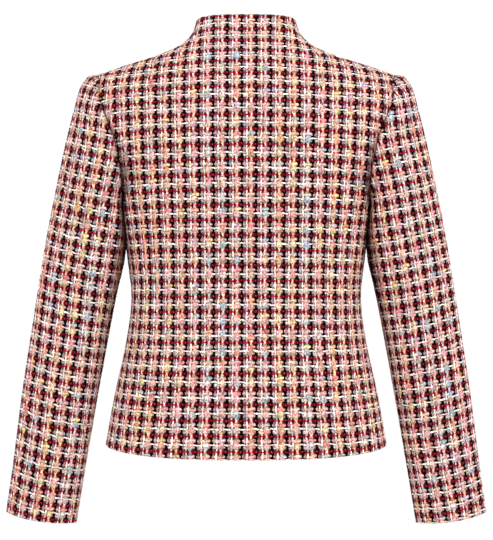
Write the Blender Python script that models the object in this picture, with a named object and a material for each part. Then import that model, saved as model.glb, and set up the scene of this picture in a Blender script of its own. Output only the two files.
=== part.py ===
"""A short tweed jacket with a funnel neck and long set-in sleeves, filled out as it is worn.

It is cut in five pieces: the back, two fronts that meet edge to edge, and two sleeves. The neck
is cut in one with the back and fronts. Each piece is a closed cloth wall, made from sections.

Frame: +Z is up, +Y is the way the wearer faces and +X is the wearer's right. The origin lies
between the shoulders at the foot of the neck, where the wearer holds the jacket up.
"""

import math
from collections import Counter, defaultdict, namedtuple

import bmesh
import bpy
import numpy as np

MM = 0.001  # the sizes and tables below are in millimetres

# The cloth
WALL = 2.5  # thickness of the tweed
SEAM_GAP = 0.6  # between two pieces along a seam
FRONT_GAP = 0.8  # between the edges of the two fronts
SHARPEST_MITRE = 1.5  # the most that a wall is lengthened where it turns at a seam

# How finely each piece is divided
SKIRT_ROWS = 11  # from the hem up to the underarm
ARMHOLE_ROWS = 12  # from the underarm up to the shoulder tip
SHOULDER_ROWS = 5  # from the shoulder tip in to the foot of the neck
NECK_ROWS = 4  # from the foot of the neck up to its edge
HALF_BODY_COLUMNS = 11  # from a side seam to the centre back or the centre front
RINGS_PER_SECTION = 2  # along a sleeve
CURVE_SAMPLES = 80  # points on a section before it is divided evenly
EASED_ROWS = 5  # rows above and below the armhole where the body is rounded off, as beside it
EASED_COLUMNS = 4  # columns over which the rounding off comes in from the edge
EASING_PASSES = 12
SHARP_ANGLE = 50  # degrees; the cloth's cut edges are sharper than this
SLEEVE_CREASE = 1.7  # 1 is a round sleeve, and 2 one that is flattened to a sharp crease each side

# The body, from the hem up. Each section is a squared-off oval at the height of its sides:
# side_x is half its width, and a larger square gives a flatter middle with tighter turns.
# back_y and front_y are the depths of its centre lines, and back_z and front_z their heights.
Section = namedtuple(
    "Section",
    "side_z side_x back_y back_z back_square front_y front_z front_square",
)
BODY = {
    "hem": Section(-524, 185.4, -104, -530, 2.50, 112, -525, 2.40),
    "hip": Section(-454, 173.0, -96, -455, 2.40, 107, -454, 2.35),
    "high_hip": Section(-390, 159.2, -89, -390, 2.30, 100, -390, 2.30),
    "waist": Section(-328, 152.0, -89, -328, 2.20, 97, -328, 2.25),
    "ribs": Section(-268, 159.2, -99, -268, 2.15, 110, -268, 2.30),
    "underarm": Section(-208, 164.0, -108, -209, 2.20, 120, -210, 2.30),
    "blades": Section(-122, 186.0, -112, -128, 2.50, 108, -142, 2.40),
    "high_back": Section(-75, 199.0, -106, -84, 2.55, 97, -116, 2.35),
    "shoulder_tip": Section(-36, 201.0, -94, -48, 1.75, 88, -98, 1.90),
    "shoulder": Section(-17.5, 137.5, -83, -28, 1.90, 80, -82, 1.95),
    "neck_foot": Section(-4, 97.0, -73, -12, 2.30, 73, -70, 2.05),
    "neck": Section(14, 73.0, -64, 10, 2.90, 67, -57, 2.10),
    "neck_edge": Section(33.5, 66.0, -58, 32.7, 2.90, 62, -44, 2.10),
}

# The right sleeve, from the armhole down. Each section is a flattened oval between an inner
# point, next to the body, and an outer one, both at the depth edge_y, and between its back and
# its front. drop is how much lower its back lies than its edges. The body's sections bend the
# armhole out of its oval, and follow is the share of that bend which a section keeps.
Ring = namedtuple(
    "Ring",
    "inner_x inner_z outer_x outer_z edge_y back_y front_y drop follow",
)
SLEEVE = {
    "armhole": Ring(164.0, -208, 201.0, -36.0, 0, -60, 60, 0.0, 1.00),
    "head": Ring(164.5, -211, 210.2, -39.5, -4, -60, 60, 0.0, 0.75),
    "cap": Ring(163.9, -215, 219.6, -56.5, -10, -59, 60, 0.0, 0.50),
    "crown": Ring(162.8, -221, 225.6, -83.0, -16, -58, 59, 0.0, 0.28),
    "below_crown": Ring(160.9, -230, 232.2, -112.0, -21, -56, 58, 0.0, 0.12),
    "underarm": Ring(158.6, -243, 240.8, -152.0, -25, -55, 56, 0.0, 0.0),
    "biceps": Ring(156.8, -260, 250.2, -197.0, -26, -50, 54, 0.0, 0.0),
    "upper_arm": Ring(159.6, -284, 260.6, -247.0, -22, -44, 51, 0.0, 0.0),
    "above_elbow": Ring(167.6, -315, 269.4, -293.0, -16, -36, 48, 0.5, 0.0),
    "elbow": Ring(177.2, -358, 278.2, -341.0, -10, -29, 46, 1.0, 0.0),
    "forearm": Ring(198.3, -465, 297.6, -451.0, 3, -16, 47, 1.5, 0.0),
    "low_forearm": Ring(216.0, -560, 312.2, -547.0, 15, -4, 52, 2.0, 0.0),
    "cuff": Ring(229.4, -634, 325.0, -620.0, 27, 7, 59, 1.5, 0.0),
}

TWEED_COLOUR = (0.45, 0.24, 0.21, 1.0)  # the mean of its yarns, linear
TWEED_ROUGHNESS = 0.92


def smooth(heights, values, at):
    """A smooth curve through a table's values, read at the heights in at."""
    heights, values = np.asarray(heights, float), np.asarray(values, float)
    step = np.diff(heights)
    secant = np.diff(values) / step
    inner = (secant[:-1] * step[1:] + secant[1:] * step[:-1]) / (step[:-1] + step[1:])
    slope = np.concatenate([secant[:1], inner, secant[-1:]])
    i = np.clip(np.searchsorted(heights, at) - 1, 0, len(step) - 1)
    t = (at - heights[i]) / step[i]
    return (
        (1 + 2 * t) * (1 - t) ** 2 * values[i]
        + t * (1 - t) ** 2 * step[i] * slope[i]
        + t**2 * (3 - 2 * t) * values[i + 1]
        - t**2 * (1 - t) * step[i] * slope[i + 1]
    )


def body_levels():
    """Each body row's level in the table at its edge and at its centre, and its armhole cut.

    Beside the armhole the rows' edges follow its turn and their centres are evenly spaced. The
    cut is the sine of that turn: 0 at the armhole's ends, and on the rows off it.
    """
    hem, low, tip, foot, edge = (
        BODY[name].side_z
        for name in ("hem", "underarm", "shoulder_tip", "neck_foot", "neck_edge")
    )
    turns = np.linspace(math.pi, 0, ARMHOLE_ROWS + 1)
    skirt = np.linspace(hem, low, SKIRT_ROWS, endpoint=False)
    armhole = (low + tip) / 2 + (tip - low) / 2 * np.cos(turns)
    shoulder = np.linspace(tip, foot, SHOULDER_ROWS, endpoint=False)[1:]
    neck = np.linspace(foot, edge, NECK_ROWS + 1)
    edges = np.concatenate([skirt, armhole, shoulder, neck])
    centres, cut = edges.copy(), np.zeros(len(edges))
    beside = slice(SKIRT_ROWS, SKIRT_ROWS + ARMHOLE_ROWS + 1)
    centres[beside] = np.linspace(low, tip, ARMHOLE_ROWS + 1)
    cut[beside] = np.sin(turns)
    return edges, centres, cut


def column(name, heights, first="hem", last="neck_edge"):
    """One column of the body's table at some heights, from the rows between two named ones."""
    names = list(BODY)
    rows = [BODY[n] for n in names[names.index(first) : names.index(last) + 1]]
    return smooth([r.side_z for r in rows], [getattr(r, name) for r in rows], heights)


def side_width(heights):
    """Half the body's width at some heights. Its outline has a corner at the shoulder tip."""
    below = column("side_x", heights, last="shoulder_tip")
    above = column("side_x", heights, first="shoulder_tip")
    return np.where(heights < BODY["shoulder_tip"].side_z, below, above)


def evenly(points, count):
    """The same curve, divided into count equal lengths."""
    steps = np.linalg.norm(np.diff(points, axis=0), axis=1)
    along = np.concatenate([[0.0], np.cumsum(steps)])
    at = np.linspace(0, along[-1], count + 1)
    return np.stack([np.interp(at, along, points[:, k]) for k in range(3)], axis=1)


def body_half(side, reach):
    """The right half of the back or the fronts: a grid of points, hem to neck, edge to centre.

    reach is how far the armhole's edge lies from the side seam, along Y, at its widest.
    """
    edges, centres, cut = body_levels()
    widths = side_width(edges)
    squares = column(f"{side}_square", edges)
    depths, centre_heights = (column(f"{side}_{name}", centres) for name in ("y", "z"))
    rows = []
    for edge_z, sine, width, square, depth, centre_z in zip(
        edges, cut, widths, squares, depths, centre_heights
    ):
        sweep = math.acos(abs(reach * sine / depth) ** (square / 2))
        turn = np.linspace(sweep, 0, CURVE_SAMPLES)
        rise = (1 - np.cos(math.pi * turn / sweep)) / 2
        curve = np.stack(
            [
                width * np.sin(turn) ** (2 / square),
                depth * np.cos(turn) ** (2 / square),
                centre_z + (edge_z - centre_z) * rise,
            ],
            axis=1,
        )
        rows.append(evenly(curve, HALF_BODY_COLUMNS))
    return eased(np.array(rows))


def eased(grid):
    """The same half with its rows rounded off beside the armhole, but not along its edge."""
    rows, columns = np.indices(grid.shape[:2])
    beyond = np.maximum(SKIRT_ROWS - rows, rows - SKIRT_ROWS - ARMHOLE_ROWS)
    by_row = np.cos(np.clip(beyond / EASED_ROWS, 0, 1) * math.pi / 2) ** 2
    by_column = np.clip(columns / EASED_COLUMNS, 0, 1)
    share = (by_row * by_column)[1:-1, :, None]
    for _ in range(EASING_PASSES):
        mean = (grid[:-2] + grid[2:]) / 2
        grid[1:-1] += (mean - grid[1:-1]) * share / 2
    return grid


def oval(ring):
    """One section of the sleeve, round from its outer point by way of its back."""
    turn = np.linspace(0, 2 * math.pi, 2 * ARMHOLE_ROWS, endpoint=False)[:, None]
    inner = np.array([ring.inner_x, ring.edge_y, ring.inner_z])
    outer = np.array([ring.outer_x, ring.edge_y, ring.outer_z])
    to_back = np.array([0.0, ring.back_y - ring.edge_y, -ring.drop])
    to_front = np.array([0.0, ring.front_y - ring.edge_y, ring.drop])
    bulge = np.where(np.sin(turn) > 0, to_back, to_front) * np.abs(np.sin(turn)) ** SLEEVE_CREASE
    return (inner + outer) / 2 + (outer - inner) / 2 * np.cos(turn) + bulge


def sleeve_rings(back, front):
    """The right sleeve: a grid of points, armhole to cuff, round from its top by way of its back."""
    armhole = slice(SKIRT_ROWS, SKIRT_ROWS + ARMHOLE_ROWS + 1)
    back_edge, front_edge = back[armhole, 0], front[armhole, 0]
    seam = np.concatenate([back_edge[::-1], front_edge[1:-1]])
    bend = seam - oval(SLEEVE["armhole"])
    table = np.array(list(SLEEVE.values()), float)
    order = np.arange(len(table))
    grid = []
    for at in np.linspace(0, order[-1], order[-1] * RINGS_PER_SECTION + 1):
        ring = Ring(*(float(smooth(order, values, at)) for values in table.T))
        grid.append(oval(ring) + ring.follow * bend)
    return np.array(grid)


def mirrored(grid):
    """The same piece for the other side, with its columns turned so that it still faces out."""
    return grid[:, ::-1] * [-1, 1, 1]


def unit(vectors):
    """Vectors at length one. One of no length stays as it is."""
    length = np.linalg.norm(vectors, axis=-1, keepdims=True)
    return vectors / np.where(length > 0, length, 1)


def steps_along(points, closed):
    """Each point's step along the last axis of a grid or a line, round and round if closed."""
    axis = points.ndim - 2
    if closed:
        return np.roll(points, -1, axis) - np.roll(points, 1, axis)
    return np.gradient(points, axis=axis)


def outward(grid, closed):
    """Each point's normal, away from the wearer."""
    return unit(np.cross(steps_along(grid, closed), np.gradient(grid, axis=0)))


def edges_of(grid, closed):
    """A grid's edges as index lists, each with the step that leads from it into the piece."""
    rows, columns = grid.shape[:2]
    yield [(0, c) for c in range(columns)], (1, 0)
    yield [(rows - 1, c) for c in range(columns)], (-1, 0)
    if not closed:
        yield [(r, 0) for r in range(rows)], (0, 1)
        yield [(r, columns - 1) for r in range(rows)], (0, -1)


def key(point):
    """What two pieces' points share where they meet."""
    return tuple(np.round(point, 3))


def no_normal():
    return np.zeros(3)


def wall_grids(pieces):
    """The outer and inner points of every piece.

    Where pieces meet at a seam they share one mean normal, so their walls end on one plane, and
    each then stands back from that plane by half the seam's gap. On an armhole the mean is of
    the sleeve's normal and the body's, whether one or two body pieces meet there.
    """
    body, sleeves, meeting = defaultdict(no_normal), defaultdict(no_normal), Counter()
    own = {name: outward(grid, closed) for name, (grid, closed) in pieces.items()}
    for name, (grid, closed) in pieces.items():
        normals = sleeves if closed else body
        for point, normal in zip(grid.reshape(-1, 3), own[name].reshape(-1, 3)):
            normals[key(point)] += normal
            meeting[key(point)] += 1
    made = {}
    for name, (grid, closed) in pieces.items():
        points = [key(point) for point in grid.reshape(-1, 3)]
        mean = np.array([unit(unit(body[p]) + unit(sleeves[p])) for p in points])
        mean = mean.reshape(grid.shape)
        lean = np.sum(mean * own[name], axis=-1, keepdims=True)
        depth = WALL / np.maximum(lean, 1 / SHARPEST_MITRE)
        shift = np.zeros_like(grid)
        for edge, (down, over) in edges_of(grid, closed):
            tangents = unit(steps_along(np.array([grid[i] for i in edge]), closed))
            for (r, c), tangent in zip(edge, tangents):
                if meeting[key(grid[r, c])] == 1:
                    continue
                away = grid[r + down, c + over] - grid[r, c]
                for direction in (mean[r, c], tangent):
                    away = away - direction * np.dot(away, direction)
                shift[r, c] += unit(away) * SEAM_GAP / 2
        outer = grid + shift
        made[name] = (outer, outer - mean * depth, closed)
    return made


def cloth_material(name):
    material = bpy.data.materials.new(f"tweed_{name}")
    material.use_nodes = True
    shader = material.node_tree.nodes["Principled BSDF"]
    shader.inputs["Base Color"].default_value = TWEED_COLOUR
    shader.inputs["Roughness"].default_value = TWEED_ROUGHNESS
    shader.inputs["Metallic"].default_value = 0.0
    return material


def cloth_wall(name, outer, inner, closed, parent):
    """One closed piece of cloth between an outer and an inner grid of points."""
    shape = bmesh.new()
    skins = [
        [[shape.verts.new(p * MM) for p in row] for row in grid]
        for grid in (outer, inner)
    ]
    rows, columns = outer.shape[:2]
    for r in range(rows - 1):
        for c in range(columns if closed else columns - 1):
            n = (c + 1) % columns
            for skin in skins:
                shape.faces.new((skin[r][c], skin[r][n], skin[r + 1][n], skin[r + 1][c]))
    for edge, _ in edges_of(outer, closed):
        line = edge + edge[:1] if closed else edge
        for (r, c), (s, d) in zip(line, line[1:]):
            shape.faces.new((skins[0][r][c], skins[0][s][d], skins[1][s][d], skins[1][r][c]))
    bmesh.ops.recalc_face_normals(shape, faces=shape.faces)
    mesh = bpy.data.meshes.new(name)
    shape.to_mesh(mesh)
    shape.free()
    mesh.shade_smooth()
    mesh.set_sharp_from_angle(angle=math.radians(SHARP_ANGLE))
    mesh.materials.append(cloth_material(name))
    piece = bpy.data.objects.new(name, mesh)
    bpy.context.scene.collection.objects.link(piece)
    piece.parent = parent


def cut_pieces():
    """Every piece's outer points, and whether its columns close into a tube."""
    armhole = SLEEVE["armhole"]
    back = body_half("back", armhole.back_y)
    front = body_half("front", armhole.front_y)
    sleeve = sleeve_rings(back, front)
    left_half = back * [-1, 1, 1]
    whole_back = np.concatenate([left_half, back[:, -2::-1]], axis=1)
    front[:, -1, 0] = FRONT_GAP / 2
    return {
        "back": (whole_back, False),
        "front_right": (front, False),
        "front_left": (mirrored(front), False),
        "sleeve_right": (sleeve, True),
        "sleeve_left": (mirrored(sleeve), True),
    }


def main():
    for item in list(bpy.data.objects):
        bpy.data.objects.remove(item)
    held_at = bpy.data.objects.new("held_at_shoulders", None)
    bpy.context.scene.collection.objects.link(held_at)
    for name, (outer, inner, closed) in wall_grids(cut_pieces()).items():
        cloth_wall(name, outer, inner, closed, held_at)


main()
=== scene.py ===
import math

import bpy
import numpy as np
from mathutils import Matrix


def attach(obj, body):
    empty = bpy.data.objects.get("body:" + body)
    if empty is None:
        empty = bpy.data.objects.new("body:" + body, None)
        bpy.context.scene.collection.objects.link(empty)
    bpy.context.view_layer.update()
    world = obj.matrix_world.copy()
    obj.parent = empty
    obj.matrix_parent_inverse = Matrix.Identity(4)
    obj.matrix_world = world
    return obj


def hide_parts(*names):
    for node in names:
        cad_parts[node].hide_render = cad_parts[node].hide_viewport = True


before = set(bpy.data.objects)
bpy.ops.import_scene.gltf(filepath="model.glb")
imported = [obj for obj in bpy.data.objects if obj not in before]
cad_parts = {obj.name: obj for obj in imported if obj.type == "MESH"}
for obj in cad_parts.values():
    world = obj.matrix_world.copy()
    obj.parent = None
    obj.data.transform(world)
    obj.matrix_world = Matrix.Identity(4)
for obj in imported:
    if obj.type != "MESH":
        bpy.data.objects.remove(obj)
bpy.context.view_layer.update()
print("frame loaded:", ", ".join(sorted(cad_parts)))

mm = 0.001  # the sizes below are in millimetres
rng = np.random.default_rng(7)

# the tweed: one repeat of its check has four warp threads and four weft threads
tweed = dict(
    across=17.5,  # one repeat, along the weft
    along=18.7,  # one repeat, along the warp
    thick=2.4,
    relief=0.9,  # from the gaps to the tops of the threads
    tucked=0.35,  # how much of a thread's height is left where it goes under
    wander=0.15,  # how far a thread strays from its line
    waves=5,  # it strays in so many waves, between the slowest and the quickest to a repeat
    slowest=0.15,
    quickest=0.9,
    sway=0.012,  # in repeats: the weft snakes between the warp threads
    swayFrom=0.73,
    hem=1.2,  # how round the hems are
    seam=0.5,  # how round the sewn edges are
    plainer=6,  # the inside has one row or column for so many outside
)
# warp: centre and half width in repeats, height,
# then how far it lies over each weft thread, and its share of its width there
warpThreads = dict(
    white=(0.000, 0.062, 0.92, (0.40, 1.0, 1.0, 0.1), (1.0, 1.0, 1.0, 1.0)),
    slub=(0.285, 0.195, 1.00, (0.65, 0.0, 0.9, 1.0), (0.38, 0.9, 1.0, 1.0)),
    black=(0.640, 0.127, 0.82, (0.05, 0.68, 0.0, 1.0), (1.38, 1.0, 0.79, 0.8)),
    grey=(0.820, 0.068, 0.75, (0.0, 1.0, 0.0, 0.0), (1.0, 1.0, 1.0, 1.0)),
)
warpAt = dict(over=3, width=4)
# weft: centre and half width in repeats, height
weftThreads = dict(
    red=(0.000, 0.088, 0.94),
    pink=(0.290, 0.098, 0.92),
    white=(0.552, 0.060, 0.92),
    grey=(0.728, 0.095, 0.88),
)
weftCentres = [centre for centre, _, _ in weftThreads.values()]


def threadHeight(across, along):
    along = along - tweed["sway"] * np.sin(2 * math.pi * (across - tweed["swayFrom"]))
    warpHigh, over, weftHigh = (np.zeros_like(across) for _ in range(3))
    for centre, half, high, ups, widths in warpThreads.values():
        wide = half * np.interp(along % 1, weftCentres, widths, period=1)
        off = (across - centre + 0.5) % 1 - 0.5
        ridge = high * np.sqrt(np.clip(1 - (off / wide) ** 2, 0, 1))
        up = np.interp(along % 1, weftCentres, ups, period=1)
        over = np.where(ridge > warpHigh, up, over)
        warpHigh = np.maximum(warpHigh, ridge)
    for centre, half, high in weftThreads.values():
        off = (along - centre + 0.5) % 1 - 0.5
        weftHigh = np.maximum(weftHigh, high * np.sqrt(np.clip(1 - (off / half) ** 2, 0, 1)))
    low = tweed["tucked"]
    return np.maximum(warpHigh * (low + (1 - low) * over), weftHigh * (1 - (1 - low) * over))


# the jacket's form: the body follows the solids, and the sleeves are up to 3 mm from them
# body, from the hem up: sideZ, sideX, backY, backZ, backSquare, frontY, frontZ, frontSquare
bodySections = dict(
    hem=(-524, 185.4, -104, -530, 2.50, 112, -525, 2.40),
    hip=(-454, 173.0, -96, -455, 2.40, 107, -454, 2.35),
    highHip=(-390, 159.2, -89, -390, 2.30, 100, -390, 2.30),
    waist=(-328, 152.0, -89, -328, 2.20, 97, -328, 2.25),
    ribs=(-268, 159.2, -99, -268, 2.15, 110, -268, 2.30),
    underarm=(-208, 164.0, -108, -209, 2.20, 120, -210, 2.30),
    blades=(-122, 186.0, -112, -128, 2.50, 108, -142, 2.40),
    highBack=(-75, 199.0, -106, -84, 2.55, 97, -116, 2.35),
    shoulderTip=(-36, 201.0, -94, -48, 1.75, 88, -98, 1.90),
    shoulder=(-17.5, 137.5, -83, -28, 1.90, 80, -82, 1.95),
    neckFoot=(-4, 97.0, -73, -12, 2.30, 73, -70, 2.05),
    neck=(14, 73.0, -64, 10, 2.90, 67, -57, 2.10),
    neckEdge=(33.5, 66.0, -58, 32.7, 2.90, 62, -44, 2.10),
)
bodyAt = dict(sideZ=0, sideX=1, back=2, front=5)
# right sleeve, from the armhole down:
# innerX, innerZ, outerX, outerZ, edgeY, backY, frontY, drop, follow
sleeveSections = dict(
    armhole=(164.0, -208, 201.0, -36.0, 0, -60, 60, 0.0, 1.00),
    head=(163.6, -211, 210.2, -39.5, -5, -60, 60, 0.0, 0.75),
    cap=(162.4, -215, 219.4, -56.5, -13, -59, 60, 0.0, 0.50),
    crown=(161.2, -221, 225.3, -83.0, -20, -58, 59, 0.0, 0.28),
    belowCrown=(159.6, -230, 231.9, -112.0, -25, -56, 58, 0.0, 0.12),
    underarm=(157.8, -243, 240.6, -152.0, -27, -55, 56, 0.0, 0.0),
    biceps=(156.8, -260, 250.2, -197.0, -26, -50, 54, 0.0, 0.0),
    upperArm=(159.6, -284, 260.6, -247.0, -22, -44, 51, 0.0, 0.0),
    aboveElbow=(167.6, -315, 269.4, -293.0, -16, -36, 48, 0.5, 0.0),
    elbow=(177.2, -358, 278.2, -341.0, -10, -29, 46, 1.0, 0.0),
    forearm=(198.3, -465, 297.6, -451.0, 3, -16, 47, 1.5, 0.0),
    lowForearm=(216.0, -560, 312.2, -547.0, 15, -4, 52, 2.0, 0.0),
    cuff=(229.9, -637, 325.3, -622.5, 27, 7, 59, 1.5, 0.0),
)
sleeveAt = dict(outerZ=3, back=5, front=6)
sleeveCrease = 1.7  # 1 is a round sleeve, and 2 one flattened to a sharp crease each side
rowsOf = dict(skirt=11, armhole=12, shoulder=5, neck=4)  # the form's rows, before they are refined
halfColumns = 11  # from a side seam to the centre
underarmRow = rowsOf["skirt"]
tipRow = underarmRow + rowsOf["armhole"]
easing = dict(rows=5, columns=4, passes=12)  # rounds off the body beside the armhole
finer = dict(
    skirt=15, armhole=10, shoulder=10, neck=6,  # rows for each of the form's rows
    across=11, ring=9,  # columns for each of its columns
    sleeve=1.95,  # between a sleeve's rows
    curve=80,  # points along a section, before it is cut in columns
    cornered=3,  # columns beside the edge that keep its corners
    lap=2,  # columns that lap over the sleeve's seam, so that it is smooth
)


def smoothCurve(places, values, at):
    places, values, at = (np.asarray(a, float) for a in (places, values, at))
    spread = (-1,) + (1,) * (values.ndim - 1)
    step = np.diff(places).reshape(spread)
    secant = np.diff(values, axis=0) / step
    inner = (secant[:-1] * step[1:] + secant[1:] * step[:-1]) / (step[:-1] + step[1:])
    slope = np.concatenate([secant[:1], inner, secant[-1:]])
    i = np.clip(np.searchsorted(places, at) - 1, 0, len(places) - 2)
    t = ((at - places[i]) / np.diff(places)[i]).reshape(spread)
    return (
        (1 + 2 * t) * (1 - t) ** 2 * values[i]
        + t * (1 - t) ** 2 * step[i] * slope[i]
        + t**2 * (3 - 2 * t) * values[i + 1]
        - t**2 * (1 - t) * step[i] * slope[i + 1]
    )


def bodyColumn(index, heights, first=0, last=None):
    rows = np.array(list(bodySections.values()), float)[first:last]
    return smoothCurve(rows[:, bodyAt["sideZ"]], rows[:, index], heights)


def bodyHalf(index, reach):  # right half of the back or the fronts, hem to neck, edge to centre
    names = list(bodySections)
    hem, low, tip, foot, edge = (
        bodySections[n][bodyAt["sideZ"]]
        for n in ("hem", "underarm", "shoulderTip", "neckFoot", "neckEdge")
    )
    turns = np.linspace(math.pi, 0, rowsOf["armhole"] + 1)
    edges = np.concatenate([
        np.linspace(hem, low, rowsOf["skirt"], endpoint=False),
        (low + tip) / 2 + (tip - low) / 2 * np.cos(turns),
        np.linspace(tip, foot, rowsOf["shoulder"], endpoint=False)[1:],
        np.linspace(foot, edge, rowsOf["neck"] + 1),
    ])
    centres = edges.copy()
    cut = np.zeros(len(edges))
    beside = slice(underarmRow, tipRow + 1)
    centres[beside] = np.linspace(low, tip, rowsOf["armhole"] + 1)
    cut[beside] = np.sin(turns)
    corner = names.index("shoulderTip")  # the outline has a corner here
    widths = np.where(
        edges < tip,
        bodyColumn(bodyAt["sideX"], edges, last=corner + 1),
        bodyColumn(bodyAt["sideX"], edges, first=corner),
    )
    depths = bodyColumn(index, centres)
    middles = bodyColumn(index + 1, centres)
    squares = bodyColumn(index + 2, edges)
    grid = []
    for z, sine, width, square, depth, middle in zip(edges, cut, widths, squares, depths, middles):
        sweep = math.acos(abs(reach * sine / depth) ** (square / 2))
        turn = np.linspace(sweep, 0, finer["curve"])
        rise = (1 - np.cos(math.pi * turn / sweep)) / 2
        curve = np.stack([
            width * np.sin(turn) ** (2 / square),
            depth * np.cos(turn) ** (2 / square),
            middle + (z - middle) * rise,
        ], axis=1)
        gone = np.concatenate([[0], np.cumsum(np.linalg.norm(np.diff(curve, axis=0), axis=1))])
        at = np.linspace(0, gone[-1], halfColumns + 1)
        grid.append(np.stack([np.interp(at, gone, curve[:, k]) for k in range(3)], axis=1))
    grid = np.array(grid)
    rows, columns = np.indices(grid.shape[:2])
    beyond = np.clip(np.maximum(underarmRow - rows, rows - tipRow) / easing["rows"], 0, 1)
    share = np.cos(beyond * math.pi / 2) ** 2 * np.clip(columns / easing["columns"], 0, 1)
    for _ in range(easing["passes"]):
        mean = (grid[:-2] + grid[2:]) / 2
        grid[1:-1] += (mean - grid[1:-1]) * share[1:-1, :, None] / 2
    return grid


def refineBody(half):  # the same half on close rows and columns, its edge keeping its corners
    order = np.arange(len(half))
    counts = [finer[part] for part in rowsOf for _ in range(rowsOf[part])]
    at = np.concatenate([np.arange(n) / n + i for i, n in enumerate(counts)] + [order[-1:]])
    whole = smoothCurve(order, half, at)
    cornered = np.zeros((len(at),) + half.shape[1:])
    for first, last in ((0, underarmRow), (underarmRow, tipRow), (tipRow, order[-1])):
        inside = (at >= first) & (at <= last)
        cornered[inside] = smoothCurve(order[first:last + 1], half[first:last + 1], at[inside])
    share = np.clip(np.arange(half.shape[1]) / finer["cornered"], 0, 1)[:, None]
    rows = cornered + (whole - cornered) * share
    columns = np.linspace(0, halfColumns, halfColumns * finer["across"] + 1)
    return smoothCurve(np.arange(halfColumns + 1), rows.swapaxes(0, 1), columns).swapaxes(0, 1)


def oval(ring):  # one section of the sleeve, round from its outer point by way of its back
    innerX, innerZ, outerX, outerZ, edgeY, backY, frontY, drop, _ = ring
    turn = np.linspace(0, 2 * math.pi, 2 * rowsOf["armhole"], endpoint=False)[:, None]
    inner = np.array([innerX, edgeY, innerZ])
    outer = np.array([outerX, edgeY, outerZ])
    bulge = np.where(np.sin(turn) > 0, [0, backY - edgeY, -drop], [0, frontY - edgeY, drop])
    bulge = bulge * np.abs(np.sin(turn)) ** sleeveCrease
    return (inner + outer) / 2 + (outer - inner) / 2 * np.cos(turn) + bulge


def sleeveTube(back, front):  # right sleeve, cuff to armhole, opened at the underarm
    beside = slice(underarmRow, tipRow + 1)
    seam = np.concatenate([back[beside, 0][::-1], front[beside, 0][1:-1]])
    bend = seam - oval(sleeveSections["armhole"])
    table = np.array(list(sleeveSections.values()), float)
    order = np.arange(len(table))
    rings = []
    for ring in smoothCurve(order, table, np.linspace(0, order[-1], 2 * order[-1] + 1)):
        rings.append(oval(ring) + ring[-1] * bend)
    half = rowsOf["armhole"]
    around = np.concatenate([np.arange(half, -1, -1), np.arange(2 * half - 1, half - 1, -1)])
    tube = np.array(rings)[::-1, around]
    lap = finer["lap"]
    lapped = np.concatenate([tube[:, -lap - 1:-1], tube, tube[:, 1:lap + 1]], axis=1)
    places = np.arange(-lap, 2 * half + lap + 1)
    columns = np.linspace(0, 2 * half, 2 * half * finer["ring"] + 1)
    tube = smoothCurve(places, lapped.swapaxes(0, 1), columns).swapaxes(0, 1)
    longest = np.linalg.norm(np.diff(tube, axis=0), axis=2).max(axis=1)
    counts = np.maximum(2, np.ceil(longest / finer["sleeve"]).astype(int))
    at = np.concatenate([np.arange(n) / n + i for i, n in enumerate(counts)] + [[len(tube) - 1]])
    return smoothCurve(np.arange(len(tube)), tube, at)


halfBack = bodyHalf(bodyAt["back"], sleeveSections["armhole"][sleeveAt["back"]])
halfFront = bodyHalf(bodyAt["front"], sleeveSections["armhole"][sleeveAt["front"]])
rightSleeve = sleeveTube(halfBack, halfFront)
halfBack = refineBody(halfBack)
halfFront = refineBody(halfFront)
mirror = np.array([-1, 1, 1])
# every panel's rows run upwards, and its columns to the right as seen from outside
panels = dict(
    back=np.concatenate([halfBack * mirror, halfBack[:, -2::-1]], axis=1),
    front_right=halfFront,
    front_left=halfFront[:, ::-1] * mirror,
    sleeve_right=rightSleeve,
    sleeve_left=rightSleeve[:, ::-1] * mirror,
)
print("panels shaped:", {name: grid.shape[:2] for name, grid in panels.items()})


def unit(vectors):
    return vectors / np.maximum(np.linalg.norm(vectors, axis=-1, keepdims=True), 1e-9)


def outward(grid):
    return unit(np.cross(np.gradient(grid, axis=1), np.gradient(grid, axis=0)))


def runAlong(grid, axis):  # distance along the rows or the columns, from the first
    steps = np.linalg.norm(np.diff(grid, axis=axis), axis=2)
    return np.concatenate([np.zeros_like(np.take(steps, [0], axis)), np.cumsum(steps, axis)], axis)


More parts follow.
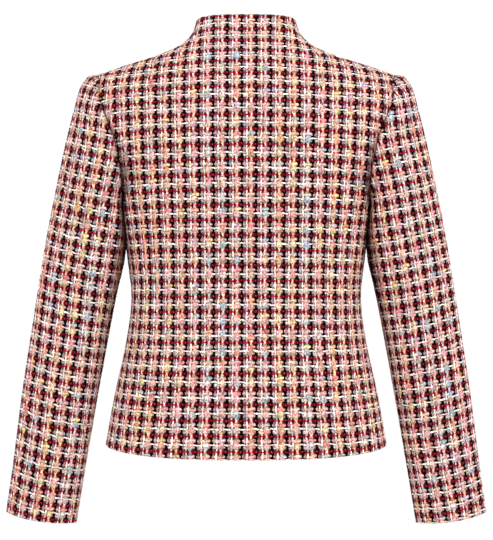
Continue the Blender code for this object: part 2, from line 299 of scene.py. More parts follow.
# where the check lies on each panel, in repeats: the white warp and the red weft are whole numbers
layBody = dict(
    centreColumn=-0.054,  # at the centre line
    redRow=-269.7,  # height of a red row at the centre back
    lowStretch=1.035,  # the cloth is a little longer below the ribs
    neckHeights=(-50, -25, -7, 6, 24),
    neckRows=(1.0, 1.04, 1.3, 1.12, 1.0),  # the rows are closer at the foot of the neck
    sideways=0.65,  # below the shoulder the warp stays upright where the cloth faces the side
    sidewaysFade=0.35,
    shoulderHeights=(-75, -35),
    turnHeights=(-300, -200, -70, -20),
    turned=(1, 0.45, 0.45, 1),  # the columns close up by the armhole, where the body turns away
    spaceHeights=(-525, -455, -390, -200, 30),
    spacing=(19.0, 18.2, 17.6, 17.4, 18.4),  # one repeat of the columns
    hangHeights=(-525, -300, -150),
    hang=(0.05, 0.1, 0.0),  # how much lower the rows are, so far from the centre
    hangFrom=140,
)
laySleeve = dict(
    lean=10.5, forward=7.8, slant=2.0,  # degrees: the arm's lean, and the slant of the rows
    steepest=2.0,  # the most that a row is lengthened where the sleeve slopes
    step=4.0,  # between the levels at which its girth is measured
    columns={-1: -0.13, 1: 0.04},  # at the outer line of the left and the right sleeve
    rows={-1: -0.26, 1: -0.09},
    stretch=(1.046, 1.107),  # above and below the elbow
    downArm=(146, 226, 345, 425, 545, 624),
    drift={  # the columns bow a little along the arm
        -1: (-0.35, -0.18, 0.02, -0.18, -0.27, -0.20),
        1: (0.74, 0.37, 0.09, 0.16, 0.22, 0.05),
    },
    rowDrift={  # and so do the rows
        -1: (0.04, 0.08, 0.01, -0.02, -0.03, -0.13),
        1: (-0.06, -0.05, -0.03, 0.0, 0.12, 0.06),
    },
    spread=(0.968, 0.97, 0.985, 1.0, 1.03, 1.045),  # the columns stand wider apart towards the cuff
    strip=22, closeUp=1.4,  # beside the underarm seam, below the elbow, they close up
    closeUpDown=(330, 400),
)


def layOnBody(grid, middle, ahead):  # ahead is -1 for the back and 1 for a front
    normal = outward(grid)
    height = grid[..., 2]
    least = np.interp(height, layBody["shoulderHeights"], [0, 1])
    level = (layBody["sideways"] - np.abs(normal[..., 0])) / layBody["sidewaysFade"]
    up = np.zeros_like(grid)  # the warp runs up the body, and over the top of the shoulder
    up[..., 1] = -ahead * normal[..., 2] * np.clip(level, least, 1)
    up[..., 2] = 1
    warp = unit(up - normal * np.sum(up * normal, axis=2, keepdims=True))
    weft = np.cross(warp, normal)
    weft[..., 1] *= np.interp(height, layBody["turnHeights"], layBody["turned"])
    right = np.sum(np.diff(grid, axis=1) * (weft[:, 1:] + weft[:, :-1]) / 2, axis=2)
    rise = np.sum(np.diff(grid, axis=0) * (warp[1:] + warp[:-1]) / 2, axis=2)
    rise *= np.interp(height[1:, [middle]], layBody["neckHeights"], layBody["neckRows"])
    run = np.concatenate([np.zeros((len(grid), 1)), np.cumsum(right, axis=1)], axis=1)
    spacing = np.interp(height[:, middle], layBody["spaceHeights"], layBody["spacing"])
    across = (run - run[:, [middle]]) / spacing[:, None] + layBody["centreColumn"]
    start = np.argmin(np.abs(height[:, middle] - layBody["redRow"]))
    fall = np.concatenate([np.zeros((1, grid.shape[1])), -np.cumsum(rise, axis=0)])
    fall -= fall[start] + height[start] - layBody["redRow"]
    stretch = np.where(fall > 0, layBody["lowStretch"], 1.0)
    hang = np.interp(height, layBody["hangHeights"], layBody["hang"])
    hang *= (grid[..., 0] / layBody["hangFrom"]) ** 2
    return across, fall / stretch / tweed["along"] - hang


def layOnSleeve(grid, side):
    middle = grid.shape[1] // 2  # the outer line
    lean, forward, slant = (
        math.tan(math.radians(laySleeve[n])) for n in ("lean", "forward", "slant")
    )
    down = unit(np.array([side * lean, forward, -1.0]))
    depth = grid @ down  # how far down the arm
    levels = np.arange(depth.min(), depth.max(), laySleeve["step"])
    level = np.stack([  # the sleeve cut straight across, at every level
        np.stack([np.interp(levels, depth[::-1, c], grid[::-1, c, k]) for k in range(3)], axis=1)
        for c in range(grid.shape[1])
    ], axis=1)
    steps = np.linalg.norm(np.diff(level, axis=1), axis=2)
    reached = levels[:, None] > np.maximum(depth[-1, 1:], depth[-1, :-1])
    for i in range(len(levels) - 2, -1, -1):  # above the armhole the columns go straight on
        steps[i] = np.where(reached[i], steps[i], steps[i + 1])
    run = np.concatenate([np.zeros((len(levels), 1)), np.cumsum(steps, axis=1)], axis=1)
    run -= run[:, [middle]]
    across = np.stack([
        np.interp(depth[:, c], levels, run[:, c]) for c in range(grid.shape[1])
    ], axis=1)
    facing = np.abs(outward(grid) @ down)
    longer = np.minimum(1 / np.sqrt(np.maximum(1 - facing**2, 1e-3)), laySleeve["steepest"])
    elbow = sleeveSections["elbow"][sleeveAt["outerZ"]]
    start = np.argmin(np.abs(grid[:, middle, 2] - elbow))
    fall = np.cumsum(np.diff(depth, axis=0) * (longer[1:] + longer[:-1]) / 2, axis=0)
    fall = np.concatenate([np.zeros((1, grid.shape[1])), fall])
    fall += depth[start] - depth[start, middle] - fall[start]
    fall += (grid[..., 0] - grid[:, [middle], 0]) * side * slant
    fall /= np.where(fall < 0, *laySleeve["stretch"])
    drift, rowDrift, spread = (
        np.interp(depth, laySleeve["downArm"], table)
        for table in (laySleeve["drift"][side], laySleeve["rowDrift"][side], laySleeve["spread"])
    )
    strip = laySleeve["strip"]
    edge = np.where(across < 0, np.abs(across[:, [0]]), np.abs(across[:, [-1]]))
    near = np.maximum(np.abs(across) - edge + strip, 0)
    closeUp = np.interp(depth, laySleeve["closeUpDown"], [0, laySleeve["closeUp"]])
    across = across + np.sign(across) * closeUp * near**2 / (2 * strip)
    across = across / (tweed["across"] * spread) + laySleeve["columns"][side] + drift
    return across, fall / tweed["along"] + laySleeve["rows"][side] + rowDrift


def wandering(across, along):  # threads stray a little from their lines
    moved = []
    many = (tweed["waves"], 2)
    for share in (tweed["wander"] / tweed["across"], tweed["wander"] / tweed["along"]):
        sway = np.zeros_like(across)
        quick = rng.uniform(tweed["slowest"], tweed["quickest"], many)
        for waves in quick * rng.choice([-1, 1], many):
            sway += np.sin(2 * math.pi * (across * waves[0] + along * waves[1] + rng.uniform()))
        moved.append(sway * share / math.sqrt(tweed["waves"] / 2))
    return across + moved[0], along + moved[1]


fold = dict(  # painted shade in the fold between sleeve and body: how dark it is at each height, and how wide
    heights=(-640, -430, -330, -268, -205, -120, -75, -30, -18),
    onBody=(0.0, 0.2, 0.4, 0.9, 0.9, 0.25, 0.1, 0.1, 0.45),
    bodyWidth=(6, 10, 18, 29, 24, 9, 5, 5, 4),
    onSleeve=(0.1, 0.3, 0.55, 0.9, 0.9, 0.3, 0.1, 0.1, 0.1),
    sleeveWidth=(7, 8, 12, 13, 13, 8, 5, 5, 5),
    onSeam=0.35,  # painted shade along the armhole seam
    seamWidth=3.0,
)


def paintedFoldShade(grid, name):  # painted shade: how much of the light gets in, from 0 to 1
    run = runAlong(grid, 1)
    fromLeft, fromRight = run, run[:, [-1]] - run
    kind = "Sleeve" if name.startswith("sleeve") else "Body"
    height = grid[..., 2]
    dark = np.interp(height, fold["heights"], fold["on" + kind])
    width = np.interp(height, fold["heights"], fold[kind.lower() + "Width"])
    nearest = np.minimum(fromLeft, fromRight)
    away = dict(front_right=fromLeft, front_left=fromRight).get(name, nearest)
    light = 1 - dark * np.exp(-((away / width) ** 2))
    if kind == "Sleeve":
        fromTop = runAlong(grid[::-1], 0)[::-1]
        light *= 1 - fold["onSeam"] * np.exp(-((fromTop / fold["seamWidth"]) ** 2))
    return light


def rollEdge(grid, places, normal, axis, radius):  # turns one end of the rows or columns under
    if axis == 1:
        turned = [a.swapaxes(0, 1) for a in (grid, places, normal)]
        return [a.swapaxes(0, 1) for a in rollEdge(*turned, 0, radius)]
    grid = grid.copy()
    into = unit(grid[1] - grid[0])
    into = unit(into - normal[0] * np.sum(into * normal[0], axis=-1, keepdims=True))
    grid[0] += into * radius  # the fold reaches as far as the cut edge did
    extra, extraPlaces = [], []
    for turn in (math.pi, 2 * math.pi / 3, math.pi / 3):
        extra.append(grid[0] - radius * (into * math.sin(turn) + normal[0] * (1 - math.cos(turn))))
        extraPlaces.append(places[0] + (places[0] - places[1]) * turn / 2)
    many = [normal[:1]] * len(extra)
    return [
        np.concatenate([np.array(extra), grid]),
        np.concatenate([np.array(extraPlaces), places]),
        np.concatenate(many + [normal]),
    ]


def addSkin(name, grid, places):
    rows, columns = grid.shape[:2]
    bpy.ops.object.select_all(action="DESELECT")
    bpy.ops.mesh.primitive_grid_add(
        x_subdivisions=columns - 1, y_subdivisions=rows - 1, calc_uvs=False
    )
    skin = bpy.context.object
    skin.name = name
    skin.matrix_world.identity()
    skin.data.vertices.foreach_set("co", (grid * mm).ravel())
    corners = np.zeros(len(skin.data.loops), int)
    skin.data.loops.foreach_get("vertex_index", corners)
    sizes = np.array([tweed["across"], tweed["along"]]) * mm
    weave = skin.data.uv_layers.new(name="weave")
    weave.uv.foreach_set("vector", (places[..., :2] * sizes).reshape(-1, 2)[corners].ravel())
    # the painted fold shade goes to the material as the reach attribute
    reach = skin.data.attributes.new("reach", "FLOAT", "POINT")
    reach.data.foreach_set("value", np.clip(places[..., 2], 0, 1).ravel())
    return skin


def sewPanel(name, grid, places):
    normal = outward(grid)
    bumps = threadHeight(places[..., 0], places[..., 1]) - 0.5
    outer = [grid + normal * (bumps * tweed["relief"])[..., None], places, normal]
    for axis, radius in ((0, tweed["hem"]), (1, tweed["seam"])):
        for end in (0, 1):
            if end:
                outer = [np.flip(a, axis) for a in outer]
            outer = rollEdge(*outer, axis, radius)
            if end:
                outer = [np.flip(a, axis) for a in outer]
    some = np.ix_(*(
        np.linspace(0, count - 1, count // tweed["plainer"]).astype(int)
        for count in grid.shape[:2]
    ))
    inner = grid[some] - normal[some] * tweed["thick"]
    inside = addSkin(name + "_inside", inner, places[some])
    inside.data.flip_normals()
    panel = addSkin(name + "_tweed", outer[0], outer[1])
    inside.select_set(True)
    bpy.ops.object.join()
    bpy.ops.object.mode_set(mode="EDIT")
    bpy.ops.mesh.select_mode(type="EDGE")
    bpy.ops.mesh.select_all(action="DESELECT")
    bpy.ops.mesh.select_non_manifold()
    bpy.ops.mesh.bridge_edge_loops()
    bpy.ops.object.mode_set(mode="OBJECT")
    bpy.ops.object.shade_smooth()
    return panel


def linear(code):  # an sRGB hex colour as Blender takes it
    parts = [int(code[i:i + 2], 16) / 255 for i in (1, 3, 5)]
    return [p / 12.92 if p <= 0.04045 else ((p + 0.055) / 1.055) ** 2.4 for p in parts] + [1.0]


def addNode(tree, kind, inputs, stops=(), blending="LINEAR", **settings):
    node = tree.nodes.new("ShaderNode" + kind)
    for setting, value in settings.items():
        setattr(node, setting, value)
    for socket, value in inputs.items():
        if isinstance(value, bpy.types.NodeSocket):
            tree.links.new(value, node.inputs[socket])
        else:
            node.inputs[socket].default_value = value
    if stops:
        ramp = node.color_ramp
        ramp.interpolation = blending
        ramp.elements.remove(ramp.elements[1])
        ramp.elements[0].position, ramp.elements[0].color = stops[0]
        for place, colour in stops[1:]:
            ramp.elements.new(place).color = colour
    return node


# Wool and cotton tweed, loosely woven in a small check: matt, every thread seen, dark between them.
yarn = dict(
    white="#f0dfd8", ivory="#f4ddd2", black="#120301", warmGrey="#927b81", coolGrey="#ac9da1",
    # pale is the painted highlight on a pinched slub
    pink="#e9a994", lilac="#ceb5bb", cream="#cab6af", mist="#a89695", pale="#ffe8da",
    blush="#f2c4bc", rose="#e9a8a8", salmon="#ec988e", peach="#f4ccb2", apricot="#f4b892",
    straw="#f2dfaa", beige="#ead6c8", sky="#b6c2cc",
)
# the plain yarns, thread by thread, each between two shades; the red weft and the slub come later
plainYarn = dict(
    weft=(("pink", "pink", "white", "cream"), ("pink", "lilac", "white", "mist")),
    warp=(("ivory", "peach", "black", "warmGrey"), ("ivory", "peach", "black", "coolGrey")),
)
# red weft along one repeat: deep over the black warp, with a painted highlight on its middle, and
# brighter over the greys
redYarn = {
    0.00: "#ac4450", 0.05: "#880610", 0.16: "#860610", 0.36: "#92091a", 0.48: "#800814",
    # the stop at 0.60 is the painted highlight
    0.55: "#56040e", 0.60: "#8e3c48", 0.66: "#34020a", 0.72: "#500612", 0.80: "#8a1228",
    0.93: "#941e36", 1.00: "#ac4450",
}
# dashes of colour in the pink weft
dashYarn = {0.0: "#e8848c", 0.30: "#f0c88a", 0.48: "#b4bcca", 0.66: "#e8a08c", 0.84: "#c6b6b4"}
# colours of the slub, by the value of its noise
slubYarn = dict(
    sky=0.26, beige=0.32, rose=0.39, blush=0.45, peach=0.50, salmon=0.56, straw=0.63, apricot=0.70
)
# slub along one repeat, painted light and shade: brightest where the red weft grips it and on the
# bead between the wefts
slubLight = {
    0.00: 0.99, 0.07: 0.78, 0.20: 0.73, 0.40: 0.69, 0.48: 0.92, 0.60: 0.86, 0.74: 0.69, 0.84: 0.6,
    0.93: 0.78, 1.00: 0.99,
}
weaving = dict(  # noise scales are to one repeat of the check
    profile={-1: 0.0, -0.8: 0.6, -0.4: 0.92, 0: 1.0, 0.4: 0.92, 0.8: 0.6, 1: 0.0},
    fuzz=0.17,  # in repeats, before the noise narrows it: how far the loose threads stray
    fuzzScale=2.2,
    slubStep=7.3,  # from thread to thread in the noise, so that no two are alike
    weftStep=5.7,
    slubRun=0.8,  # how quickly a slub changes along its length
    slubRough=0.6,
    slubKeeps=(0.28, -0.02),  # the part of its shade that it keeps from end to end, and a shift
    slubChanges=0.76,
    slubWidths=(0.8, 1.16),
    pinched=(0.4, 0.6),  # a slub has a painted highlight, paler, where it is as narrow as this
    pinchedHighlight=0.7,
    pressed=0.7,  # a weft thread is pressed down less beside the middle of a warp thread
    blur=0.03,  # where warp and weft are as high as each other
    shadeScale=1.3,
    shades=(0.35, 0.65),
    dashFrom=(0.64, 0.66),  # how seldom the dashes come
    dashStrength=0.85,
    noise=(0.3, 0.7),  # most of a noise is between these
    fibreScale=9.0,
    fibreShades=(0.35, 1.7),
    mottleScale=2.6,
    mottleShades=(0.7, 1.3),
    fleckScale=3.2,
    fleckLeast=0.88,
    fleckMore=0.24,
    shadow=(0.15, 0.05, 0.045),  # what is left of a colour, low down between the threads
    gap=(0.1, 0.64),  # heights from full shadow to full light
    border=0.12,  # the shadow where one thread goes under another
    borderShade=0.7,
    fibreRise=0.25,
    bump=0.8,
    bumpStrength=0.6,
    roughness=0.92,
    specular=0.02,
)


def grey(value):
    return (value, value, value, 1.0)


def ridges(threads):  # height across each thread, from its edge to its middle and down again
    places = []
    for centre, half, high in threads.values():
        for off, share in weaving["profile"].items():
            places.append(((centre + off * half) % 1, grey(share * high)))
    return sorted(places)


def bands(values, threads):  # one value for each thread, changing half way between two
    centres = [t[0] for t in threads.values()] + [1.0]
    halves = [t[1] for t in threads.values()]
    halves.append(halves[0])
    stops = [(0.0, values[0])]
    for i in range(1, len(centres)):
        end = centres[i - 1] + halves[i - 1]
        start = centres[i] - halves[i]
        stops.append(((end + start) / 2, values[i % len(values)]))
    return stops


def blends(values, threads):  # one value for each thread, passing evenly to the next between them
    starts = [t[0] - t[1] for t in threads.values()]
    ends = [t[0] + t[1] for t in threads.values()]
    stops = [(0.0, values[0])]
    for i, (end, start) in enumerate(zip(ends, starts[1:] + [starts[0] + 1])):
        middle = (start + end) / 2
        apart = max(start - end, 0.002) / 2
        stops += [(middle - apart, values[i]), (middle + apart, values[(i + 1) % len(values)])]
    return stops


def crossings(index):  # one value for each warp thread, changing from weft thread to weft thread
    rows = np.array([t[index] for t in warpThreads.values()]).T
    return [(c, tuple(row)) for c, row in zip(weftCentres + [1.0], list(rows) + [rows[0]])]


def weaveTweed():
    material = bpy.data.materials.new("wool_tweed_woven")
    material.use_nodes = True
    tree = material.node_tree
    shader = tree.nodes["Principled BSDF"]
    low = tweed["tucked"]
    fuzz = weaving["fuzz"]
    noiseFrom, noiseTo = weaving["noise"]
    single = [(1, 0, 0, 0), (0, 1, 0, 0), (0, 0, 1, 0), (0, 0, 0, 1)]
    # the place in the check, with the threads a little ragged and the weft snaking
    uvMap = addNode(tree, "UVMap", {}, uv_map="weave")
    repeats = addNode(tree, "Mapping", {
        "Vector": uvMap.outputs[0],
        "Scale": (1 / mm / tweed["across"], 1 / mm / tweed["along"], 1.0),
        "Location": (-fuzz / 2, -fuzz / 2, 0),
    })
    ragged = addNode(tree, "TexNoise", {
        "Vector": repeats.outputs[0], "Scale": weaving["fuzzScale"], "Detail": 2.0,
    }, noise_dimensions="2D")
    threads = addNode(tree, "VectorMath", {
        0: ragged.outputs["Color"], 1: (fuzz, fuzz, 0), 2: repeats.outputs[0],
    }, operation="MULTIPLY_ADD")
    place = addNode(tree, "SeparateXYZ", {0: threads.outputs[0]})
    full = 2 * math.pi
    swayTurn = addNode(tree, "Math", {
        0: place.outputs[0], 1: full, 2: -full * tweed["swayFrom"],
    }, operation="MULTIPLY_ADD")
    swaySine = addNode(tree, "Math", {0: swayTurn.outputs[0]}, operation="SINE")
    run = addNode(tree, "Math", {
        0: swaySine.outputs[0], 1: -tweed["sway"], 2: place.outputs[1],
    }, operation="MULTIPLY_ADD")
    across = addNode(tree, "Math", {0: place.outputs[0]}, operation="FRACT")
    along = addNode(tree, "Math", {0: run.outputs[0]}, operation="FRACT")
    column = addNode(tree, "Math", {0: place.outputs[0]}, operation="FLOOR")
    row = addNode(tree, "Math", {0: run.outputs[0]}, operation="FLOOR")
    # how far the warp thread that is here lies over the weft, and how wide it is
    which = addNode(tree, "ValToRGB", {0: across.outputs[0]}, stops=blends(single, warpThreads))
    isSlub = addNode(tree, "SeparateColor", {0: which.outputs[0]})
    here = {}
    for kind, index in warpAt.items():
        ramp = addNode(tree, "ValToRGB", {0: along.outputs[0]}, stops=crossings(index))
        firstThree = addNode(tree, "VectorMath", {
            0: which.outputs[0], 1: ramp.outputs[0],
        }, operation="DOT_PRODUCT")
        here[kind] = addNode(tree, "Math", {
            0: which.outputs[1], 1: ramp.outputs[1], 2: firstThree.outputs["Value"],
        }, operation="MULTIPLY_ADD")
    over, width = here["over"], here["width"]
    # its height, and the weft's
    sections = [tuple(t[:3]) + (1.0,) for t in warpThreads.values()]
    sections.append((1.0,) + sections[0][1:])
    section = addNode(
        tree, "ValToRGB", {0: across.outputs[0]},
        stops=bands(sections, warpThreads), blending="CONSTANT",
    )
    centre = addNode(tree, "SeparateColor", {0: section.outputs[0]})
    off = addNode(tree, "Math", {0: across.outputs[0], 1: centre.outputs[0]}, operation="SUBTRACT")
    half = addNode(tree, "Math", {0: centre.outputs[1], 1: width.outputs[0]}, operation="MULTIPLY")
    share = addNode(tree, "Math", {0: off.outputs[0], 1: half.outputs[0]}, operation="DIVIDE")
    square = addNode(tree, "Math", {0: share.outputs[0], 1: share.outputs[0]}, operation="MULTIPLY")
    left = addNode(tree, "Math", {0: 1.0, 1: square.outputs[0]}, operation="SUBTRACT")
    above = addNode(tree, "Math", {0: left.outputs[0], 1: 0.0}, operation="MAXIMUM")
    rounded = addNode(tree, "Math", {0: above.outputs[0]}, operation="SQRT")
    warpRidge = addNode(tree, "Math", {
        0: rounded.outputs[0], 1: centre.outputs[2],
    }, operation="MULTIPLY")
    weftRidge = addNode(tree, "ValToRGB", {0: along.outputs[0]}, stops=ridges(weftThreads))
    # the slub yarn changes colour and thickness along its length
    slubStep = addNode(tree, "Math", {
        0: column.outputs[0], 1: weaving["slubStep"],
    }, operation="MULTIPLY")
    slubRun = addNode(tree, "Math", {
        0: place.outputs[1], 1: weaving["slubRun"],
    }, operation="MULTIPLY")
    slubPlace = addNode(tree, "CombineXYZ", {0: slubStep.outputs[0], 1: slubRun.outputs[0]})
    slubNoise = addNode(tree, "TexNoise", {
        "Vector": slubPlace.outputs[0], "Scale": 1.0, "Detail": 1.0,
        "Roughness": weaving["slubRough"],
    }, noise_dimensions="2D")
    slubParts = addNode(tree, "SeparateColor", {0: slubNoise.outputs["Color"]})
    slubColumn = addNode(tree, "TexWhiteNoise", {"W": column.outputs[0]}, noise_dimensions="1D")
    slubBase = addNode(tree, "Math", {
        0: slubColumn.outputs[0], 1: weaving["slubKeeps"][0], 2: weaving["slubKeeps"][1],
    }, operation="MULTIPLY_ADD")
    slubShade = addNode(tree, "Math", {
        0: slubParts.outputs[0], 1: weaving["slubChanges"], 2: slubBase.outputs[0],
    }, operation="MULTIPLY_ADD")
    slubStops = [(at, linear(yarn[name])) for name, at in slubYarn.items()]
    slubColour = addNode(tree, "ValToRGB", {0: slubShade.outputs[0]}, stops=slubStops)
    # painted highlight: the slub goes pale where the red weft pinches it narrow
    pinched = addNode(tree, "MapRange", {
        "Value": width.outputs[0], 1: weaving["pinched"][0], 2: weaving["pinched"][1],
        3: weaving["pinchedHighlight"], 4: 0.0,
    })
    slubHighlighted = addNode(tree, "Mix", {
        0: pinched.outputs[0], 6: slubColour.outputs[0], 7: linear(yarn["pale"]),
    }, data_type="RGBA")
    # painted shade along the slub
    slubShadeStops = [(at, grey(value)) for at, value in slubLight.items()]
    slubPaintedShade = addNode(tree, "ValToRGB", {0: along.outputs[0]}, stops=slubShadeStops)
    slubShown = addNode(tree, "Mix", {
        0: 1.0, 6: slubHighlighted.outputs[2], 7: slubPaintedShade.outputs[0],
    }, data_type="RGBA", blend_type="MULTIPLY")
    slubGrow = addNode(tree, "MapRange", {
        "Value": slubParts.outputs[1], 1: noiseFrom, 2: noiseTo,
        3: weaving["slubWidths"][0], 4: weaving["slubWidths"][1],
    })
    grow = addNode(tree, "Mix", {
        0: isSlub.outputs[1], 2: 1.0, 3: slubGrow.outputs[0],
    }, data_type="FLOAT")
    # how high the warp and the weft stand here, and which of them shows
    warpLift = addNode(tree, "Math", {
        0: over.outputs[0], 1: 1 - low, 2: low,
    }, operation="MULTIPLY_ADD")
    press = addNode(tree, "MapRange", {"Value": rounded.outputs[0], 3: weaving["pressed"], 4: 1.0})
    pressed = addNode(tree, "Math", {0: over.outputs[0], 1: press.outputs[0]}, operation="MULTIPLY")
    weftLift = addNode(tree, "Math", {
        0: pressed.outputs[0], 1: low - 1, 2: 1.0,
    }, operation="MULTIPLY_ADD")
    warpSize = addNode(tree, "Math", {
        0: warpRidge.outputs[0], 1: grow.outputs[0],
    }, operation="MULTIPLY")
    warpHigh = addNode(tree, "Math", {
        0: warpSize.outputs[0], 1: warpLift.outputs[0],
    }, operation="MULTIPLY")
    weftHigh = addNode(tree, "Math", {
        0: weftRidge.outputs[0], 1: weftLift.outputs[0],
    }, operation="MULTIPLY")
    ahead = addNode(tree, "Math", {
        0: warpHigh.outputs[0], 1: weftHigh.outputs[0],
    }, operation="SUBTRACT")
    showsWarp = addNode(tree, "MapRange", {
        "Value": ahead.outputs[0], 1: -weaving["blur"], 2: weaving["blur"],
    })
    top = addNode(tree, "Math", {
        0: warpHigh.outputs[0], 1: weftHigh.outputs[0],
    }, operation="MAXIMUM")
    # colours of the plain yarns
    weftStep = addNode(tree, "Math", {
        0: row.outputs[0], 1: weaving["weftStep"],
    }, operation="MULTIPLY")
    weftPlace = addNode(tree, "CombineXYZ", {0: place.outputs[0], 1: weftStep.outputs[0]})
    weftNoise = addNode(tree, "TexNoise", {
        "Vector": weftPlace.outputs[0], "Scale": weaving["shadeScale"], "Detail": 2.0,
    }, noise_dimensions="2D")
    shade = addNode(tree, "MapRange", {
        "Value": weftNoise.outputs[0], 1: weaving["shades"][0], 2: weaving["shades"][1],
    })
    plain = {}
    for kind, at, table in (("weft", along, weftThreads), ("warp", across, warpThreads)):
        ramps = []
        for names in plainYarn[kind]:
            stops = bands([linear(yarn[n]) for n in names], table)
            ramps.append(addNode(
                tree, "ValToRGB", {0: at.outputs[0]}, stops=stops, blending="CONSTANT"
            ))
        plain[kind] = addNode(tree, "Mix", {
            0: shade.outputs[0], 6: ramps[0].outputs[0], 7: ramps[1].outputs[0],
        }, data_type="RGBA")
    # the pink weft has dashes of other colours, one for each repeat, and the red weft its own ramp
    dashPlace = addNode(tree, "CombineXYZ", {0: column.outputs[0], 1: row.outputs[0]})
    dashNoise = addNode(
        tree, "TexWhiteNoise", {"Vector": dashPlace.outputs[0]}, noise_dimensions="2D"
    )
    dashPick = addNode(tree, "SeparateColor", {0: dashNoise.outputs["Color"]})
    dashStops = [(at, linear(code)) for at, code in dashYarn.items()]
    dashColour = addNode(
        tree, "ValToRGB", {0: dashPick.outputs[0]}, stops=dashStops, blending="CONSTANT"
    )
    dashOften = addNode(tree, "MapRange", {
        "Value": dashPick.outputs[1], 1: weaving["dashFrom"][0], 2: weaving["dashFrom"][1],
        3: 0.0, 4: weaving["dashStrength"],
    })
    redStops = [(at, linear(code)) for at, code in redYarn.items()]
    red = addNode(tree, "ValToRGB", {0: across.outputs[0]}, stops=redStops)
    whichWeft = addNode(
        tree, "ValToRGB", {0: along.outputs[0]},
        stops=bands(single, weftThreads), blending="CONSTANT",
    )
    weftKind = addNode(tree, "SeparateColor", {0: whichWeft.outputs[0]})
    dashed = addNode(tree, "Math", {
        0: weftKind.outputs[1], 1: dashOften.outputs[0],
    }, operation="MULTIPLY")
    weftDashed = addNode(tree, "Mix", {
        0: dashed.outputs[0], 6: plain["weft"].outputs[2], 7: dashColour.outputs[0],
    }, data_type="RGBA")
    weftColour = addNode(tree, "Mix", {
        0: weftKind.outputs[0], 6: weftDashed.outputs[2], 7: red.outputs[0],
    }, data_type="RGBA")
    warpColour = addNode(tree, "Mix", {
        0: isSlub.outputs[1], 6: plain["warp"].outputs[2], 7: slubShown.outputs[2],
    }, data_type="RGBA")
    thread = addNode(tree, "Mix", {
        0: showsWarp.outputs[0], 6: weftColour.outputs[2], 7: warpColour.outputs[2],
    }, data_type="RGBA")
    # the fibres' own unevenness, and warm shadow low down between the threads
    fibre = addNode(tree, "TexNoise", {
        "Vector": repeats.outputs[0], "Scale": weaving["fibreScale"], "Detail": 2.0,
    }, noise_dimensions="2D")
    mottle = addNode(tree, "TexNoise", {
        "Vector": repeats.outputs[0], "Scale": weaving["mottleScale"], "Detail": 1.0,
    }, noise_dimensions="2D")
    fibreShade, mottleShade = (
        addNode(tree, "MapRange", {
            "Value": noise.outputs[0], 1: noiseFrom, 2: noiseTo, 3: darkest, 4: lightest,
        }, clamp=False)
        for noise, (darkest, lightest) in (
            (fibre, weaving["fibreShades"]), (mottle, weaving["mottleShades"])
        )
    )
    uneven = addNode(tree, "Math", {
        0: fibreShade.outputs[0], 1: mottleShade.outputs[0],
    }, operation="MULTIPLY")
    fleck = addNode(tree, "TexVoronoi", {
        "Vector": repeats.outputs[0], "Scale": weaving["fleckScale"],
    }, voronoi_dimensions="2D")
    flecks = addNode(tree, "VectorMath", {
        0: fleck.outputs["Color"], 1: [weaving["fleckMore"]] * 3, 2: [weaving["fleckLeast"]] * 3,
    }, operation="MULTIPLY_ADD")
    flecked = addNode(tree, "VectorMath", {
        0: thread.outputs[2], 1: flecks.outputs[0],
    }, operation="MULTIPLY")
    inShadow = addNode(tree, "VectorMath", {
        0: flecked.outputs[0], 1: weaving["shadow"],
    }, operation="MULTIPLY")
    gap = addNode(tree, "MapRange", {
        "Value": top.outputs[0], 1: weaving["gap"][0], 2: weaving["gap"][1],
    })
    apart = addNode(tree, "Math", {0: ahead.outputs[0]}, operation="ABSOLUTE")
    border = addNode(tree, "MapRange", {
        "Value": apart.outputs[0], 1: 0.0, 2: weaving["border"], 3: weaving["borderShade"], 4: 1.0,
    })
    shaded = addNode(tree, "Math", {0: gap.outputs[0], 1: border.outputs[0]}, operation="MULTIPLY")
    inLight = addNode(tree, "Math", {
        0: shaded.outputs[0], 1: uneven.outputs[0],
    }, operation="MULTIPLY")
    # painted shade from the reach attribute: it dims the lit share of the colour in the fold and
    # along the armhole seam
    reach = addNode(tree, "Attribute", {}, attribute_name="reach")
    lit = addNode(tree, "Math", {
        0: inLight.outputs[0], 1: reach.outputs["Fac"],
    }, operation="MULTIPLY")
    shown = addNode(tree, "Mix", {
        0: lit.outputs[0], 6: inShadow.outputs[0], 7: flecked.outputs[0],
    }, data_type="RGBA", clamp_factor=False)
    # and takes the colour towards black, a painted shadow deep in the fold
    deep = addNode(tree, "Mix", {
        0: reach.outputs["Fac"], 6: linear(yarn["black"]), 7: shown.outputs[2],
    }, data_type="RGBA")
    rise = addNode(tree, "Math", {
        0: fibre.outputs[0], 1: weaving["fibreRise"], 2: top.outputs[0],
    }, operation="MULTIPLY_ADD")
    bump = addNode(tree, "Bump", {
        "Height": rise.outputs[0],
        "Distance": weaving["bump"] * mm,
        "Strength": weaving["bumpStrength"],
    })
    tree.links.new(deep.outputs[2], shader.inputs["Base Color"])
    tree.links.new(bump.outputs[0], shader.inputs["Normal"])
    shader.inputs["Roughness"].default_value = weaving["roughness"]
    shader.inputs["Specular IOR Level"].default_value = weaving["specular"]
    return material


cloth = weaveTweed()
for name, grid in panels.items():
    if name.startswith("sleeve"):
        lay = layOnSleeve(grid, 1 if name.endswith("right") else -1)
    else:
        middle = dict(back=grid.shape[1] // 2, front_right=-1, front_left=0)[name]
        lay = layOnBody(grid, middle, -1 if name == "back" else 1)
    panel = sewPanel(name, grid, np.stack([*wandering(*lay), paintedFoldShade(grid, name)], axis=-1))
    panel.data.materials.append(cloth)
    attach(panel, "root")
    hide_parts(name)
    girth = round(runAlong(grid, 1)[:, -1].max())
    reach = round(runAlong(grid, 0)[-1].max())
    cells = np.cross(np.diff(grid, axis=0)[:, :-1], np.diff(grid, axis=1)[:-1])
    laid = round(np.linalg.norm(cells, axis=2).sum() * mm**2, 4)
    print(name, "sewn:", len(panel.data.polygons), "faces,", girth, "x", reach, "mm,", laid, "m2")

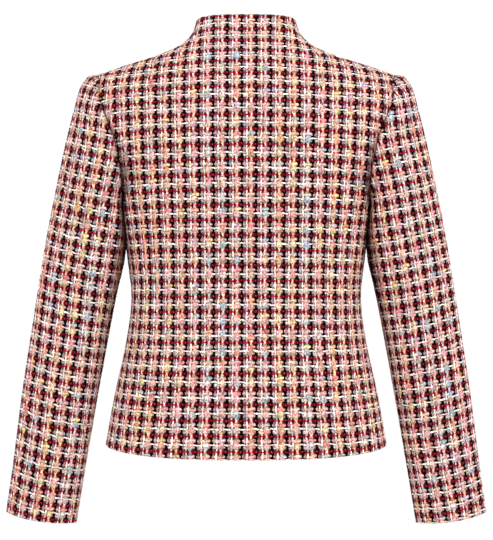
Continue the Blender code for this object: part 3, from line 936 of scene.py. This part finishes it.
# the floor, the light and the camera
studio = dict(
    floor="#f4f2ef", floorDim="#f1efec", roller=60.0, rollerSpan=(0.3, 0.7),
    floorZ=-1.4, floorRadius=1.6, floorSides=96,
    sky=1.02, keyPower=46.0, keySize=2.2, keyAt=(0.7, -2.3, 1.7),
    distance=1.45, eye=-0.2945, aside=0.0004, lens=72.68, sensor=36,
)
bpy.ops.object.select_all(action="DESELECT")
bpy.ops.mesh.primitive_circle_add(
    vertices=studio["floorSides"], radius=studio["floorRadius"], fill_type="NGON",
    location=(0, 0, studio["floorZ"]),
)
floor = bpy.context.object
floor.name = "studio_floor"
# Matt floor paint, rolled on: pale, with a faint grain from the roller.
paint = bpy.data.materials.new("floor_painted_matt")
paint.use_nodes = True
coat = paint.node_tree
roller = addNode(coat, "TexNoise", {"Scale": studio["roller"]})
tintStops = list(zip(studio["rollerSpan"], (linear(studio["floorDim"]), linear(studio["floor"]))))
tint = addNode(coat, "ValToRGB", {0: roller.outputs[0]}, stops=tintStops)
coat.links.new(tint.outputs[0], coat.nodes["Principled BSDF"].inputs["Base Color"])
floor.data.materials.append(paint)

world = bpy.data.worlds.new("white_studio")
world.use_nodes = True
background = world.node_tree.nodes["Background"]
background.inputs[0].default_value = (1, 1, 1, 1)
background.inputs[1].default_value = studio["sky"]
bpy.context.scene.world = world
bpy.context.scene.view_settings.view_transform = "Standard"

bpy.ops.object.light_add(type="AREA", location=studio["keyAt"])
key = bpy.context.object
key.name = "soft_key"
key.data.size = studio["keySize"]
key.data.energy = studio["keyPower"]
aim = np.array([0, 0, studio["eye"]]) - np.array(studio["keyAt"])
tilt = math.atan2(math.hypot(aim[0], aim[1]), -aim[2])
key.rotation_euler = (tilt, 0, math.atan2(-aim[0], aim[1]))

bpy.ops.object.camera_add(
    location=(studio["aside"], -studio["distance"], studio["eye"]), rotation=(math.pi / 2, 0, 0)
)
camera = bpy.context.object
camera.name = "photo_camera"
camera.data.sensor_fit = "VERTICAL"
camera.data.sensor_height = studio["sensor"]
camera.data.lens = studio["lens"]
camera.data.dof.use_dof = False
bpy.context.scene.camera = camera
